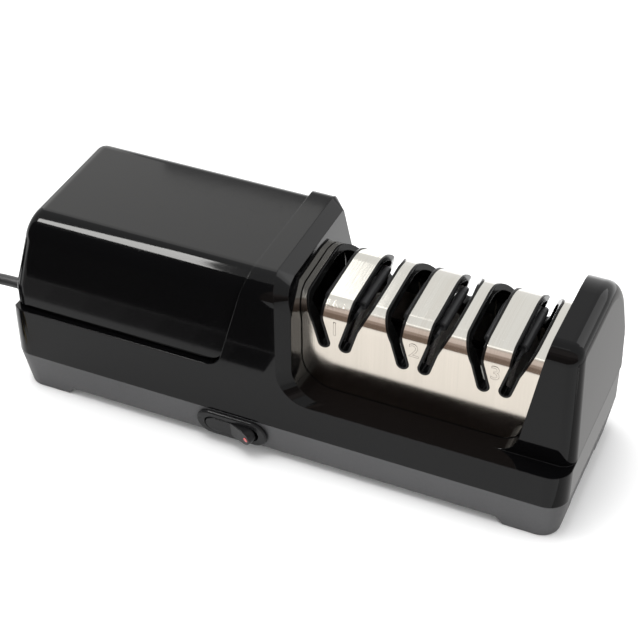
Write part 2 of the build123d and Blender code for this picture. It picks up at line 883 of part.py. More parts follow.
spring_gap = 2 * (disc_face - disc_thick)
spring_coil_h = spring_gap - spring_wire - 0.2
with BuildPart() as disc_spring:
    with BuildLine() as disc_coil:
        Helix(pitch=spring_coil_h / 2, height=spring_coil_h, radius=spring_r, direction=(1, 0, 0))
    with BuildSketch(Plane(origin=disc_coil.line @ 0, z_dir=disc_coil.line % 0)):
        Circle(spring_wire / 2)
    sweep(is_frenet=True)
disc_springs = Compound([Pos(c - spring_coil_h / 2, 0, shaft_z) * disc_spring.part for c in stage_x])

clip_places = (
    inner_block[0] - clip_thick - fit_gap,
    inner_block[1] + fit_gap,
    outer_block[0] - clip_thick - fit_gap,
    outer_block[1] + fit_gap,
)
shaft_clips = Compound([tube(x, x + clip_thick, clip_r, shaft_r + on_shaft) for x in clip_places])
sleeve_ends = (
    (clip_places[1] + clip_thick, stage_x[0] - hub_end),
    (stage_x[0] + hub_end, stage_x[1] - hub_end),
    (stage_x[1] + hub_end, stage_x[2] - hub_end),
    (stage_x[2] + hub_end, clip_places[2]),
)
spacer_sleeves = Compound([tube(a, b, sleeve_r, shaft_r + on_shaft) for a, b in sleeve_ends])

block_plate = 3.0
block_foot = 18.0
block_neck = 9.0
block_head = 12.0
block_screw_y = 13.5
small_r = 1.4
small_head_r = 2.8
small_head = 2.0
small_len = block_plate + 2.0


def bearing_block(start, end):
    """Upright block on the base floor with a bore for the shaft's bush and a screw each side."""
    with BuildPart() as block:
        with BuildSketch(Plane.YZ.offset(start)):
            with Locations((0, floor_top + block_plate / 2)):
                Rectangle(2 * block_foot, block_plate)
            with Locations((0, (floor_top + shaft_z) / 2)):
                Rectangle(2 * block_neck, shaft_z - floor_top)
            with Locations((0, shaft_z)):
                Circle(block_head)
            with Locations((0, shaft_z)):
                Circle(bush_r, mode=Mode.SUBTRACT)
        extrude(amount=end - start)
        with BuildSketch(Plane.XY.offset(floor_top)):
            with Locations(((start + end) / 2, -block_screw_y), ((start + end) / 2, block_screw_y)):
                Circle(small_r + touch_gap)
        extrude(amount=block_plate, mode=Mode.SUBTRACT)
    return block.part


bearing_blocks = {"inner": bearing_block(*inner_block), "outer": bearing_block(*outer_block)}
wheel_bushes = Compound([tube(a, b, bush_r, shaft_r + bore_fit) for a, b in (inner_block, outer_block)])

# ---------------------------------------------------------------- motor
stack = (-102.0, -66.0)
stack_half = 29.0
bore_r = 19.5
armature_r = 19.0
frame_left = (-116.0, -112.0)
frame_right = (-45.0, -41.0)
frame_high = 9.0
bolt_y = 25.5
bolt_r = 1.5
post_r = 3.4
coil_over = 6.0
coil_out = 18.0
coil_in = 11.0
coil_low = 19.8
coil_high = 26.0
motor_bush_r = 5.5
motor_start = frame_left[0] - 2
motor_end = wheel_start - 1
commutator_x = (-56.0, -48.0)
commutator_r = 9.0
fan_x = (-40.0, -32.0)
fan_r = 22.0
fan_hub_r = 7.0
fan_blades = 9
coupling_x = (-27.0, -13.5)
coupling_r = 7.5
brush_half = 2.2
holder_half = 3.8
holder_y = (10.5, 21.6)

with BuildPart() as field_stack:
    with BuildSketch(Plane.YZ.offset(stack[0])):
        with Locations((0, shaft_z)):
            RectangleRounded(2 * stack_half, 2 * stack_half, 6)
            Circle(bore_r, mode=Mode.SUBTRACT)
        with Locations(*[(y, shaft_z) for y in (-bolt_y, bolt_y)]):
            Circle(bolt_r + touch_gap, mode=Mode.SUBTRACT)
        coil_mid = ((coil_in + coil_out) / 2, (coil_low + coil_high) / 2)
        with Locations(*[(s * coil_mid[0], shaft_z + way * coil_mid[1]) for s in (-1, 1) for way in (-1, 1)]):
            Rectangle(coil_out - coil_in, coil_high - coil_low, mode=Mode.SUBTRACT)
    extrude(amount=stack[1] - stack[0])

stack_mid = (stack[0] + stack[1]) / 2
stack_len = stack[1] - stack[0]
with BuildPart() as field_coils:
    for low in (shaft_z - coil_high, shaft_z + coil_low):
        with BuildSketch(Plane.XY.offset(low + touch_gap)):
            with Locations((stack_mid, 0)):
                RectangleRounded(stack_len + 2 * coil_over, 2 * coil_out - 2 * touch_gap, 5)
                Rectangle(stack_len + 2 * touch_gap, 2 * coil_in + 2 * touch_gap, mode=Mode.SUBTRACT)
        extrude(amount=coil_high - coil_low - 2 * touch_gap)

with BuildPart() as armature:
    with BuildSketch(Plane.YZ.offset(stack[0])):
        with Locations((0, shaft_z)):
            Circle(armature_r)
            Circle(motor_r + on_shaft, mode=Mode.SUBTRACT)
            with PolarLocations(armature_r - 4, 12):
                Rectangle(8.5, 2.2, mode=Mode.SUBTRACT)
    extrude(amount=stack_len)
with BuildPart() as armature_windings:
    add(tube(stack[0] - 5, stack[0], 15, motor_r + on_shaft))
    add(tube(stack[1], stack[1] + 5, 15, motor_r + on_shaft))
    fillet(armature_windings.edges().filter_by(GeomType.CIRCLE).filter_by(lambda e: e.radius > 14), 1.5)
with BuildPart() as commutator:
    with BuildSketch(Plane.YZ.offset(commutator_x[0])):
        with Locations((0, shaft_z)):
            Circle(commutator_r)
            Circle(motor_r + on_shaft, mode=Mode.SUBTRACT)
            with PolarLocations(commutator_r, 24):
                Rectangle(1.6, 0.5, mode=Mode.SUBTRACT)
    extrude(amount=commutator_x[1] - commutator_x[0])
with BuildPart() as motor_shaft:
    add(tube(motor_start, motor_end, motor_r, 0))
    chamfer(motor_shaft.edges().filter_by(GeomType.CIRCLE), 0.4)
with BuildPart() as fan:
    add(tube(fan_x[0], fan_x[1], fan_hub_r, motor_r + on_shaft))
    with Locations(Plane.YZ.offset((fan_x[0] + fan_x[1]) / 2)):
        with Locations((0, shaft_z)):
            with PolarLocations((fan_hub_r + fan_r) / 2 - 0.5, fan_blades):
                Box(fan_r - fan_hub_r + 0.6, 1.2, 7, rotation=(35, 0, 0))
with BuildPart() as coupling:
    add(tube(coupling_x[0], motor_end, coupling_r, motor_r + on_shaft))
    add(tube(motor_end, coupling_x[1], coupling_r, shaft_r + on_shaft))


def end_frame(start, end, towards):
    """Bridge across the motor's end with the bush in its middle and a post to the stack at each side."""
    with BuildPart() as bridge:
        with BuildSketch(Plane.YZ.offset(start)):
            with Locations((0, shaft_z)):
                RectangleRounded(2 * stack_half, 2 * frame_high, 4)
                Circle(motor_bush_r, mode=Mode.SUBTRACT)
        extrude(amount=end - start)
        near, far = sorted((end if towards > end else start, towards))
        with BuildSketch(Plane.YZ.offset(near)):
            with Locations(*[(y, shaft_z) for y in (-bolt_y, bolt_y)]):
                Circle(post_r)
        extrude(amount=far - near)
        with BuildSketch(Plane.YZ.offset(min(start, near) - 1)):
            with Locations(*[(y, shaft_z) for y in (-bolt_y, bolt_y)]):
                Circle(bolt_r + touch_gap)
        extrude(amount=max(end, far) - min(start, near) + 2, mode=Mode.SUBTRACT)
    return bridge.part


motor_frames = {"left": end_frame(*frame_left, stack[0]), "right": end_frame(*frame_right, stack[1])}
motor_bushes = Compound([tube(a, b, motor_bush_r, motor_r + bore_fit) for a, b in (frame_left, frame_right)])
with BuildPart() as motor_bolts:
    with BuildSketch(Plane.YZ.offset(frame_left[0] - 2)):
        with Locations(*[(y, shaft_z) for y in (-bolt_y, bolt_y)]):
            Circle(bolt_r)
    extrude(amount=frame_right[1] - frame_left[0] + 4)
    for x in (frame_left[0] - 2.5, frame_right[1]):
        with BuildSketch(Plane.YZ.offset(x)):
            with Locations(*[(y, shaft_z) for y in (-bolt_y, bolt_y)]):
                RegularPolygon(3, 6)
        extrude(amount=2.5)
with BuildPart() as brush_holders:
    with BuildSketch(Plane.YZ.offset(commutator_x[0])):
        with Locations(*[(s * sum(holder_y) / 2, shaft_z) for s in (-1, 1)]):
            Rectangle(holder_y[1] - holder_y[0], 2 * holder_half)
    extrude(amount=frame_right[0] - commutator_x[0])
    with BuildSketch(Plane.YZ.offset(commutator_x[0] + 1.5)):
        with Locations(*[(s * sum(holder_y) / 2, shaft_z) for s in (-1, 1)]):
            Rectangle(holder_y[1] - holder_y[0], 2 * brush_half + 2 * touch_gap)
    extrude(amount=commutator_x[1] - commutator_x[0] - 3, mode=Mode.SUBTRACT)
with BuildPart() as brushes:
    with BuildSketch(Plane.YZ.offset(commutator_x[0] + 1.5 + touch_gap)):
        with Locations(*[(s * (commutator_r + fit_gap + holder_y[1] - 1) / 2, shaft_z) for s in (-1, 1)]):
            Rectangle(holder_y[1] - 1 - commutator_r - fit_gap, 2 * brush_half)
    extrude(amount=commutator_x[1] - commutator_x[0] - 3 - 2 * touch_gap)

cradle_plate = 3.0
cradle_half = (22.0, 33.0)
cradle_screw_places = [(stack_mid + x, y) for x in (-18, 18) for y in (-29, 29)]
with BuildPart() as motor_cradle:
    with BuildSketch(Plane.XY.offset(floor_top)):
        with Locations((stack_mid, 0)):
            RectangleRounded(2 * cradle_half[0], 2 * cradle_half[1], 3)
        with Locations(*cradle_screw_places):
            Circle(small_r + touch_gap, mode=Mode.SUBTRACT)
    extrude(amount=cradle_plate)
    with BuildSketch(Plane.XY.offset(floor_top + cradle_plate)):
        with Locations(*[(stack_mid + x, 0) for x in (-12, 0, 12)]):
            Rectangle(4, 2 * stack_half - 10)
    extrude(amount=shaft_z - stack_half - floor_top - cradle_plate)

block_screw_places = [
    (sum(ends) / 2, y) for ends in (inner_block, outer_block) for y in (-block_screw_y, block_screw_y)
]
with BuildPart() as mounting_screws:
    with BuildSketch(Plane.XY.offset(floor_top + block_plate)):
        with Locations(*block_screw_places, *cradle_screw_places):
            Circle(small_head_r)
    extrude(amount=small_head)
    with BuildSketch(Plane.XY.offset(floor_top + block_plate - small_len)):
        with Locations(*block_screw_places, *cradle_screw_places):
            Circle(small_r)
    extrude(amount=small_len)
with BuildPart() as floor_holes:
    with BuildSketch(Plane.XY.offset(floor_top + block_plate - small_len)):
        with Locations(*block_screw_places, *cradle_screw_places):
            Circle(small_r + touch_gap)
    extrude(amount=small_len)
with BuildPart() as base_final:
    add(base.part)
    add(floor_holes.part, mode=Mode.SUBTRACT)

# ---------------------------------------------------------------- rocker switch
pivot_plane = switch_plane.offset(rocker_pivot)
rocker_straight = rocker_reach - rocker_high / 2
rise = tan(radians(rocker_turn))
face = rocker_face - rocker_pivot
back = face - rocker_thick
stub_half = skirt_high / 2 - 0.7
dot_u = 9.2
dot_r = 1.25
dot_deep = 0.6

with BuildPart() as stub_holes:
    with BuildSketch(Plane.XZ):
        Circle(rocker_pin_r + bore_fit)
    extrude(amount=stub_half + touch_gap, both=True)
with BuildPart() as switch_bezel:
    with BuildSketch(switch_plane):
        SlotOverall(bezel_len, bezel_high)
    extrude(amount=bezel_proud)
    fillet(switch_bezel.faces().sort_by(Axis.Y)[0].edges(), 0.9)
    with BuildSketch(switch_plane):
        SlotOverall(skirt_len, skirt_high)
    extrude(amount=-skirt_deep)
    with BuildSketch(switch_plane.offset(-skirt_deep)):
        SlotOverall(2 * (rocker_reach + rocker_gap), rocker_high + 2 * rocker_gap)
    extrude(amount=skirt_deep + bezel_proud + 1, mode=Mode.SUBTRACT)
    add(pivot_plane.location * stub_holes.part, mode=Mode.SUBTRACT)

# the rocker is a barrel about its pivot, so that it never leaves its own outline, cut to a shallow V
with BuildPart() as rocker_barrel:
    with BuildSketch(Plane.XY):
        with Locations((rocker_straight / 2, 0)):
            Rectangle(rocker_straight, rocker_high)
        with Locations((rocker_straight, 0)):
            Circle(rocker_high / 2)
        with Locations((-rocker_high, 0)):
            Rectangle(2 * rocker_high, 2 * rocker_high, mode=Mode.SUBTRACT)
    revolve(axis=Axis.Y)
rocker_end = rocker_reach + 1
rocker_side = outline(
    (
        (-rocker_end, face),
        (0, face),
        (rocker_end, face + rocker_end * rise),
        (rocker_end, back + rocker_end * rise),
        (0, back),
        (-rocker_end, back),
    )
)
with BuildPart() as rocker_wedge:
    with BuildSketch(Plane.XZ):
        add(rocker_side)
    extrude(amount=rocker_high, both=True)
dot_plane = Plane(origin=(dot_u, 0, face + dot_u * rise), x_dir=(1, 0, rise), z_dir=(-rise, 0, 1))
with BuildPart() as rocker_dot:
    with BuildSketch(dot_plane.offset(-dot_deep)):
        Circle(dot_r)
    extrude(amount=dot_deep + 0.15)
with BuildPart() as rocker:
    add(rocker_barrel.part)
    add(rocker_wedge.part, mode=Mode.INTERSECT)
    with BuildSketch(Plane.XZ):
        Circle(rocker_pin_r)
    extrude(amount=stub_half, both=True)
    add(rocker_dot.part, mode=Mode.SUBTRACT)

with BuildPart() as switch_body:
    with BuildSketch(switch_plane.offset(-switch_deep)):
        RectangleRounded(skirt_len - 3, skirt_high - 0.6, 1)
    extrude(amount=switch_deep - skirt_deep)
with BuildPart() as switch_tabs:
    with BuildSketch(switch_plane.offset(-switch_deep - tab_len)):
        with Locations(*[(x, 0) for x in tab_places]):
            Rectangle(0.8, 4.2)
    extrude(amount=tab_len)

# ---------------------------------------------------------------- mains cord, its coil, plug and leads
cord_r = 2.9
coil_layers = 3
coil_x = -233.6
coil_y0 = -34.9
coil_outer_r = 34.9
plug_tail = 14.0
plug_long = 26.0
plug_wide = 24.0
blade_gap = 12.7
blade_long = 16.0
cord_route = (
    (-164.0, 0.0, 21.3),
    (-175.0, 0.0, 21.3),
    (-189.0, 0.0, 18.9),
    (-202.5, 0.0, 14.4),
    (-213.0, 0.0, 14.4),
)
coil_slack = 0.1
coil_high_z = 2 * coil_layers * cord_r
stub_x = cord_route[-1][0]
top_z = coil_high_z - cord_r - coil_slack
mid_z = top_z - 2 * cord_r
relief_in = -half_l + 4.2
relief_flange = 2.0
relief_out = cord_route[0][0]
plug_start = stub_x + 4
relief_r = 5.0
relief_tip_r = 3.8


def run_radii(points):
    """Largest even radius at each inner point of a route: 0.45 of the shorter run over the turn."""
    radii = []
    for one, two, three in zip(points, points[1:], points[2:]):
        first, second = Vector(*two) - Vector(*one), Vector(*three) - Vector(*two)
        turn = radians(first.get_angle(second))
        radii.append(0.45 * min(first.length, second.length) / tan(turn / 2))
    return radii


def cable(points, radius, radii):
    """Round cable along straight runs joined by arcs."""
    with BuildPart() as piece:
        with BuildLine() as path:
            FilletPolyline(*points, radius=radii)
        with BuildSketch(Plane(origin=path.line @ 0, z_dir=path.line % 0)):
            Circle(radius)
        sweep()
    run = path.wires()[0].length
    print("cable length", round(run, 1), "radii", radii)
    print("volume", round(piece.part.volume, 1), "section x length", round(pi * radius**2 * run, 1))
    return piece.part


mains_cord = cable(cord_route, cord_r, run_radii(cord_route))
with BuildPart() as cord_coil:
    with BuildSketch(Plane.XZ):
        with Locations((coil_outer_r - cord_r, coil_high_z / 2)):
            RectangleRounded(4 * cord_r + 2 * coil_slack, coil_high_z, cord_r / 2)
    revolve(axis=Axis.Z)
coil_at = Pos(coil_x, coil_y0, 0) * cord_coil.part
with BuildPart() as coil_with_ends:
    add(coil_at)
    for y, z, end in ((0, top_z, stub_x), (2 * coil_y0, mid_z, plug_start)):
        with BuildSketch(Plane.YZ.offset(coil_x)):
            with Locations((y, z)):
                Circle(cord_r)
        extrude(amount=end - coil_x)

plug_y = 2 * coil_y0
plug_tail_end = plug_start + plug_tail
plug_face = plug_tail_end + plug_long
with BuildPart() as plug:
    with BuildSketch(Plane.YZ.offset(plug_start)):
        with Locations((plug_y, mid_z)):
            Circle(cord_r + 0.6)
    with BuildSketch(Plane.YZ.offset(plug_tail_end)):
        with Locations((plug_y, mid_z)):
            Circle(cord_r + 2.4)
    loft(ruled=True)
    with BuildSketch(Plane.YZ.offset(plug_tail_end)):
        with Locations((plug_y, mid_z)):
            RectangleRounded(plug_wide, 2 * mid_z, 6)
    extrude(amount=plug_long)
    fillet(plug.faces().sort_by(Axis.X)[-1].edges(), 1.5)
with BuildPart() as plug_blades:
    with BuildSketch(Plane.YZ.offset(plug_face)):
        with Locations((plug_y - blade_gap / 2, mid_z), (plug_y + blade_gap / 2, mid_z)):
            Rectangle(1.5, 6.3)
    extrude(amount=blade_long)

with BuildPart() as strain_relief:
    with BuildSketch(Plane.XY):
        with BuildLine():
            Polyline(
                (relief_in + relief_flange, 0),
                (relief_in + relief_flange, relief_r + 2),
                (relief_in, relief_r + 2),
                (relief_in, relief_r),
                (-half_l - 1, relief_r),
                (relief_out, relief_tip_r),
                (relief_out, 0),
                close=True,
            )
        make_face()
    revolve(axis=Axis.X)
relief = Pos(0, 0, seam_h) * strain_relief.part

lead_r = 0.9
lead_start = relief_in + relief_flange
tab_end = switch_plane.from_local_coords((0, 0, -switch_deep - tab_len))
tab_x = [switch_x + x for x in tab_places]
tab_y = tab_end.Y + fit_gap + touch_gap
lead_routes = (
    (
        (lead_start, -1.4, seam_h),
        (-124, -1.4, seam_h),
        (-109, -36, 12),
        (-48, -36, 9.5),
        (-44, -13, 13),
        (tab_x[0], -11, tab_end.Z),
        (tab_x[0], tab_y, tab_end.Z),
    ),
    ((lead_start, 1.4, seam_h), (-125, 1.4, seam_h), (-117, 9, 19), (stack[0] - coil_over, 9, 19)),
    (
        (tab_x[2], tab_y, tab_end.Z),
        (tab_x[2], -18, tab_end.Z),
        (tab_x[2], -18, 27),
        (-50.5, -18, 27),
        (-50.5, -18, shaft_z - holder_half),
    ),
)
lead_wires = Compound([cable(route, lead_r, 2.5) for route in lead_routes])

# ---------------------------------------------------------------- every piece to its file
pieces = {
    "base": base_final.part,
    "rubber_feet": rubber_feet.part,
    "housing": housing.part,
    "case_screws": case_screws.part,
    "motor_cover": motor_cover.part,
    "cover_screws": cover_screws.part,
    "steel_cover": steel_cover.part,
    "hinge_pins": hinge_pins.part,
    "arm_springs": arm_springs,
    "wheel_shaft": wheel_shaft.part,
    "disc_springs": disc_springs,
    "spacer_sleeves": spacer_sleeves,
    "shaft_clips": shaft_clips,
    "wheel_bushes": wheel_bushes,
    "field_stack": field_stack.part,
    "field_coils": field_coils.part,
    "armature": armature.part,
    "armature_windings": armature_windings.part,
    "commutator": commutator.part,
    "motor_shaft": motor_shaft.part,
    "motor_bushes": motor_bushes,
    "motor_bolts": motor_bolts.part,
    "brush_holders": brush_holders.part,
    "brushes": brushes.part,
    "fan": fan.part,
    "coupling": coupling.part,
    "motor_cradle": motor_cradle.part,
    "mounting_screws": mounting_screws.part,
    "switch_bezel": switch_bezel.part,
    "rocker": pivot_plane.location * rocker.part,
    "rocker_dot": pivot_plane.location * rocker_dot.part,
    "switch_body": switch_body.part,
    "switch_tabs": switch_tabs.part,
    "lead_wires": lead_wires,
    "strain_relief": relief,
    "mains_cord": mains_cord,
    "cord_coil": coil_with_ends.part,
    "plug": plug.part,
    "plug_blades": plug_blades.part,
}
for name, piece in liners.items():
    pieces[f"liner_{name}"] = piece
for (name, side), piece in arms.items():
    pieces[f"guide_arm_{name}_{side_names[side]}"] = piece
for (name, side), piece in discs.items():
    pieces[f"disc_{name}_{side_names[side]}"] = piece
for name, piece in bearing_blocks.items():
    pieces[f"bearing_block_{name}"] = piece
for name, piece in motor_frames.items():
    pieces[f"motor_frame_{name}"] = piece
cord_pieces = ("strain_relief", "mains_cord", "cord_coil", "plug", "plug_blades")
boxes = [piece.bounding_box() for name, piece in pieces.items() if name not in cord_pieces]
middle_y = (min(box.min.Y for box in boxes) + max(box.max.Y for box in boxes)) / 2
print("middle of the machine", round(middle_y, 4))
for name, piece in pieces.items():
    placed = Pos(0, -middle_y, 0) * piece
    placed.label = name
    export_step(placed, f"parts/{name}.step")
    box = placed.bounding_box()
    corners = [round(v, 2) for v in (*box.min, *box.max)]
    print(name, len(piece.solids()), piece.is_valid, round(piece.volume), corners)
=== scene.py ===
# Looks of an electric knife sharpener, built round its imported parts. Metres, Z up; +X is the stage end.
import json
import math

import bmesh
import bpy
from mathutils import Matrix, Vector


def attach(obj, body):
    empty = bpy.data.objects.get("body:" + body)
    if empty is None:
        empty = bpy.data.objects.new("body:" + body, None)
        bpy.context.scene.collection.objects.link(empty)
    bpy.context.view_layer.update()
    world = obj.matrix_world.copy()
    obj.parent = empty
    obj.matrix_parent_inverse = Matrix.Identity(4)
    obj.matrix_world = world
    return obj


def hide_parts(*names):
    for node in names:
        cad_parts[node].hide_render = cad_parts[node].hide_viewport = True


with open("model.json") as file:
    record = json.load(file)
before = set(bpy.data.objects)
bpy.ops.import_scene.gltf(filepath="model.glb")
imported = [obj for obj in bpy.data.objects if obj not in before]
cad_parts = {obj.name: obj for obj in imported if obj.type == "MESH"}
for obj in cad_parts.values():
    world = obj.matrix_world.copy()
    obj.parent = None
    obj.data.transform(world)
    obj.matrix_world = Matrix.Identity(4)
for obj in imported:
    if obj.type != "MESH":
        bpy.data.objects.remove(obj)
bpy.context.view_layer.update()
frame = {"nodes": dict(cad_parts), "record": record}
MM = 0.001
# the shaft line and the cord's way out stand this far behind the origin, in millimetres
MIDDLE_Y = 2.757

# ---------------------------------------------------------------- camera
CAMERA_PLACE = (0.2522, -0.56689, 0.5521)
CAMERA_AZIMUTH = 23.594
CAMERA_ELEVATION = 38.846
CAMERA_LENS = 95.16
CAMERA_SENSOR = 36
CAMERA_NEAR = 0.05


def make_camera():
    """Camera at its place, turned by its azimuth and looking down by its elevation."""
    azimuth, elevation = math.radians(CAMERA_AZIMUTH), math.radians(CAMERA_ELEVATION)
    flat = math.cos(elevation)
    look = Vector((-math.sin(azimuth) * flat, math.cos(azimuth) * flat, -math.sin(elevation)))
    data = bpy.data.cameras.new("view_camera")
    data.lens = CAMERA_LENS
    data.sensor_width = CAMERA_SENSOR
    data.clip_start = CAMERA_NEAR
    camera = bpy.data.objects.new("view_camera", data)
    camera.location = CAMERA_PLACE
    camera.rotation_mode = "QUATERNION"
    camera.rotation_quaternion = look.to_track_quat("-Z", "Y")
    bpy.context.collection.objects.link(camera)
    bpy.context.scene.camera = camera


make_camera()


# ---------------------------------------------------------------- shader maths
class Value:
    """Number that changes over a surface; arithmetic on it adds Math nodes to its finish."""

    def __init__(self, finish, socket):
        self.finish = finish
        self.socket = socket

    def maths(self, operation, *values):
        made = self.finish.node("ShaderNodeMath", {"operation": operation}, dict(enumerate(values)))
        return made.value()

    def __add__(self, other):
        return self.maths("ADD", self, other)

    __radd__ = __add__

    def __sub__(self, other):
        return self.maths("SUBTRACT", self, other)

    def __rsub__(self, other):
        return self.maths("SUBTRACT", other, self)

    def __mul__(self, other):
        return self.maths("MULTIPLY", self, other)

    __rmul__ = __mul__

    def __abs__(self):
        return self.maths("ABSOLUTE", self)


class Made:
    """A node that stands in a finish, with its outputs by name or number."""

    def __init__(self, finish, node):
        self.finish = finish
        self.node = node

    def out(self, key=0):
        return self.node.outputs[key]

    def value(self, key=0):
        return Value(self.finish, self.node.outputs[key])


class Finish:
    """One material: a Principled shader and what feeds it."""

    def __init__(self, name, colour=(0.5, 0.5, 0.5), roughness=0.5, metallic=0.0, **sockets):
        self.material = bpy.data.materials.new(name)
        self.material.use_nodes = True
        self.tree = self.material.node_tree
        self.shader = self.tree.nodes["Principled BSDF"]
        self.set("Base Color", (*colour, 1))
        self.set("Roughness", roughness)
        self.set("Metallic", metallic)
        for key, constant in sockets.items():
            self.set(key.replace("_", " "), constant)

    def put(self, socket, value):
        """Give a socket a constant, or link it to a value or another socket."""
        if isinstance(value, Value):
            self.tree.links.new(value.socket, socket)
        elif isinstance(value, bpy.types.NodeSocket):
            self.tree.links.new(value, socket)
        else:
            socket.default_value = value

    def set(self, key, value):
        """Give one of the shader's own sockets a constant or a link."""
        self.put(self.shader.inputs[key], value)

    def node(self, kind, settings=None, values=None):
        """Any node: its settings are set first, then the values or links of its sockets."""
        node = self.tree.nodes.new(kind)
        for key, setting in (settings or {}).items():
            setattr(node, key, setting)
        for key, value in (values or {}).items():
            self.put(node.inputs[key], value)
        return Made(self, node)

    def place(self, stretch=(1, 1, 1), shift=(0, 0, 0)):
        """Own coordinates of the piece in metres, stretched for textures that run one way."""
        own = self.node("ShaderNodeTexCoord").out("Object")
        values = {0: own, 1: stretch, 2: shift}
        return self.node("ShaderNodeVectorMath", {"operation": "MULTIPLY_ADD"}, values).out()

    def noise(self, scale, detail=2.0, stretch=(1, 1, 1), shift=(0, 0, 0), rough=0.5):
        """Cloudy value from 0 to 1; a stretch draws it out into lines."""
        values = {"Vector": self.place(stretch, shift), "Scale": scale, "Detail": detail, "Roughness": rough}
        return self.node("ShaderNodeTexNoise", None, values).value("Fac")

    def cells(self, scale):
        """Distance to the middle of the nearest grain."""
        values = {"Vector": self.place(), "Scale": scale}
        return self.node("ShaderNodeTexVoronoi", {"feature": "F1"}, values).value("Distance")

    def spread(self, value, low, high, to_low=0.0, to_high=1.0):
        """Value between low and high spread over to_low to to_high, and held outside them."""
        values = {"Value": value, "From Min": low, "From Max": high, "To Min": to_low, "To Max": to_high}
        return self.node("ShaderNodeMapRange", {"clamp": True}, values).value()

    def mix(self, factor, first, second):
        """Colour between first and second."""
        ends = [c if isinstance(c, bpy.types.NodeSocket) else (*c, 1) for c in (first, second)]
        values = {0: factor, 6: ends[0], 7: ends[1]}
        return self.node("ShaderNodeMix", {"data_type": "RGBA"}, values).out(2)

    def soft_edge(self, radius):
        """Normal with the edges rounded over by radius."""
        return self.node("ShaderNodeBevel", {"samples": 6}, {"Radius": radius}).out()

    def edge(self, radius, low=0.02, high=0.25):
        """Mask that is 1 along edges."""
        flat = self.node("ShaderNodeNewGeometry").out("Normal")
        values = {0: self.soft_edge(radius), 1: flat}
        turned = self.node("ShaderNodeVectorMath", {"operation": "DOT_PRODUCT"}, values).value("Value")
        return self.spread(1 - turned, low, high)

    def facing_up(self):
        """Value that is 1 on level tops and 0 on upright faces."""
        flat = self.node("ShaderNodeNewGeometry").out("Normal")
        return self.node("ShaderNodeSeparateXYZ", None, {0: flat}).value("Z")

    def bump(self, height, distance, strength, normal=None):
        """Relief from a height, over the soft edges where they are given."""
        values = {"Height": height, "Distance": distance, "Strength": strength}
        if normal is not None:
            values["Normal"] = normal
        self.set("Normal", self.node("ShaderNodeBump", None, values).out())

    def scratches(self, scale, stretch, shift, thin=0.006):
        """Thin hairlines along one direction, in patches."""
        line = abs(self.noise(scale, 1.0, stretch, shift) - 0.5)
        patch = self.spread(self.noise(scale * 0.35, 2.0, (1, 1, 1), shift), 0.5, 0.62)
        return self.spread(line, thin, 0.0) * patch


# ---------------------------------------------------------------- finishes
# radii that edges are rounded over by in the looks, in metres
MOULDED_EDGE = 0.0005
FINE_MOULDED_EDGE = 0.0004
METAL_EDGE = 0.0003
# steel tones: the top tone is painted light and the front tone painted shade; the third is the dark bands on
# the shaded fronts
STEEL_LIT_TOP = (0.66, 0.65, 0.605)
STEEL_SHADED_FRONT = (0.54, 0.495, 0.435)
STEEL_SHADED_BAND = (0.42, 0.385, 0.34)


def gloss_moulding(name, colour, roughness, edge_radius=MOULDED_EDGE, dust=0.3, smear=0.05):
    """Polished black moulding: faint ripple of the mould, hairlines, dulled edges, some dust on top."""
    finish = Finish(name, colour, roughness, Specular_IOR_Level=0.155)
    ripple = finish.noise(55, 2.0)
    cloud = finish.noise(18, 3.0, shift=(3, 1, 2))
    grain = finish.noise(2400, 1.0)
    hair = finish.scratches(260, (0.12, 1, 1), (1, 5, 2)) + finish.scratches(210, (1, 0.15, 0.6), (7, 2, 4))
    edge = finish.edge(edge_radius) * finish.spread(finish.noise(420, 3.0), 0.42, 0.62)
    specks = finish.spread(finish.cells(900), 0.16, 0.08) * finish.spread(finish.facing_up(), 0.5, 0.95)
    specks = specks * finish.spread(finish.noise(160, 1.0, shift=(9, 4, 1)), 0.55, 0.7)
    lighter = tuple(min(1, 2.2 * c + 0.03) for c in colour)
    finish.set("Base Color", finish.mix(edge * 0.45 + specks * dust, colour, lighter))
    blur = finish.spread(cloud, 0.35, 0.7, 0.0, smear)
    finish.set("Roughness", roughness + blur + hair * 0.12 + edge * 0.12 + specks * 0.2)
    height = ripple + grain * 0.05 - hair * 0.06
    finish.bump(height, 0.00004, 0.35, finish.soft_edge(edge_radius))
    return finish.material


def matt_moulding(name, colour, roughness):
    """Matt moulding with a spark-eroded grain, rubbed smoother and paler along its edges."""
    finish = Finish(name, colour, roughness)
    grain = finish.noise(1500, 3.0)
    cloud = finish.noise(22, 3.0, shift=(2, 6, 1))
    edge = finish.edge(MOULDED_EDGE) * finish.spread(finish.noise(380, 3.0), 0.4, 0.65)
    paler = tuple(min(1, 1.5 * c + 0.03) for c in colour)
    share = finish.spread(cloud, 0.3, 0.75, 0.0, 0.16) + edge * 0.4
    finish.set("Base Color", finish.mix(share, colour, paler))
    skin = finish.spread(grain, 0.3, 0.7, roughness - 0.06, roughness + 0.08)
    finish.set("Roughness", skin - edge * 0.12)
    finish.bump(grain, 0.00006, 0.6, finish.soft_edge(MOULDED_EDGE))
    return finish.material


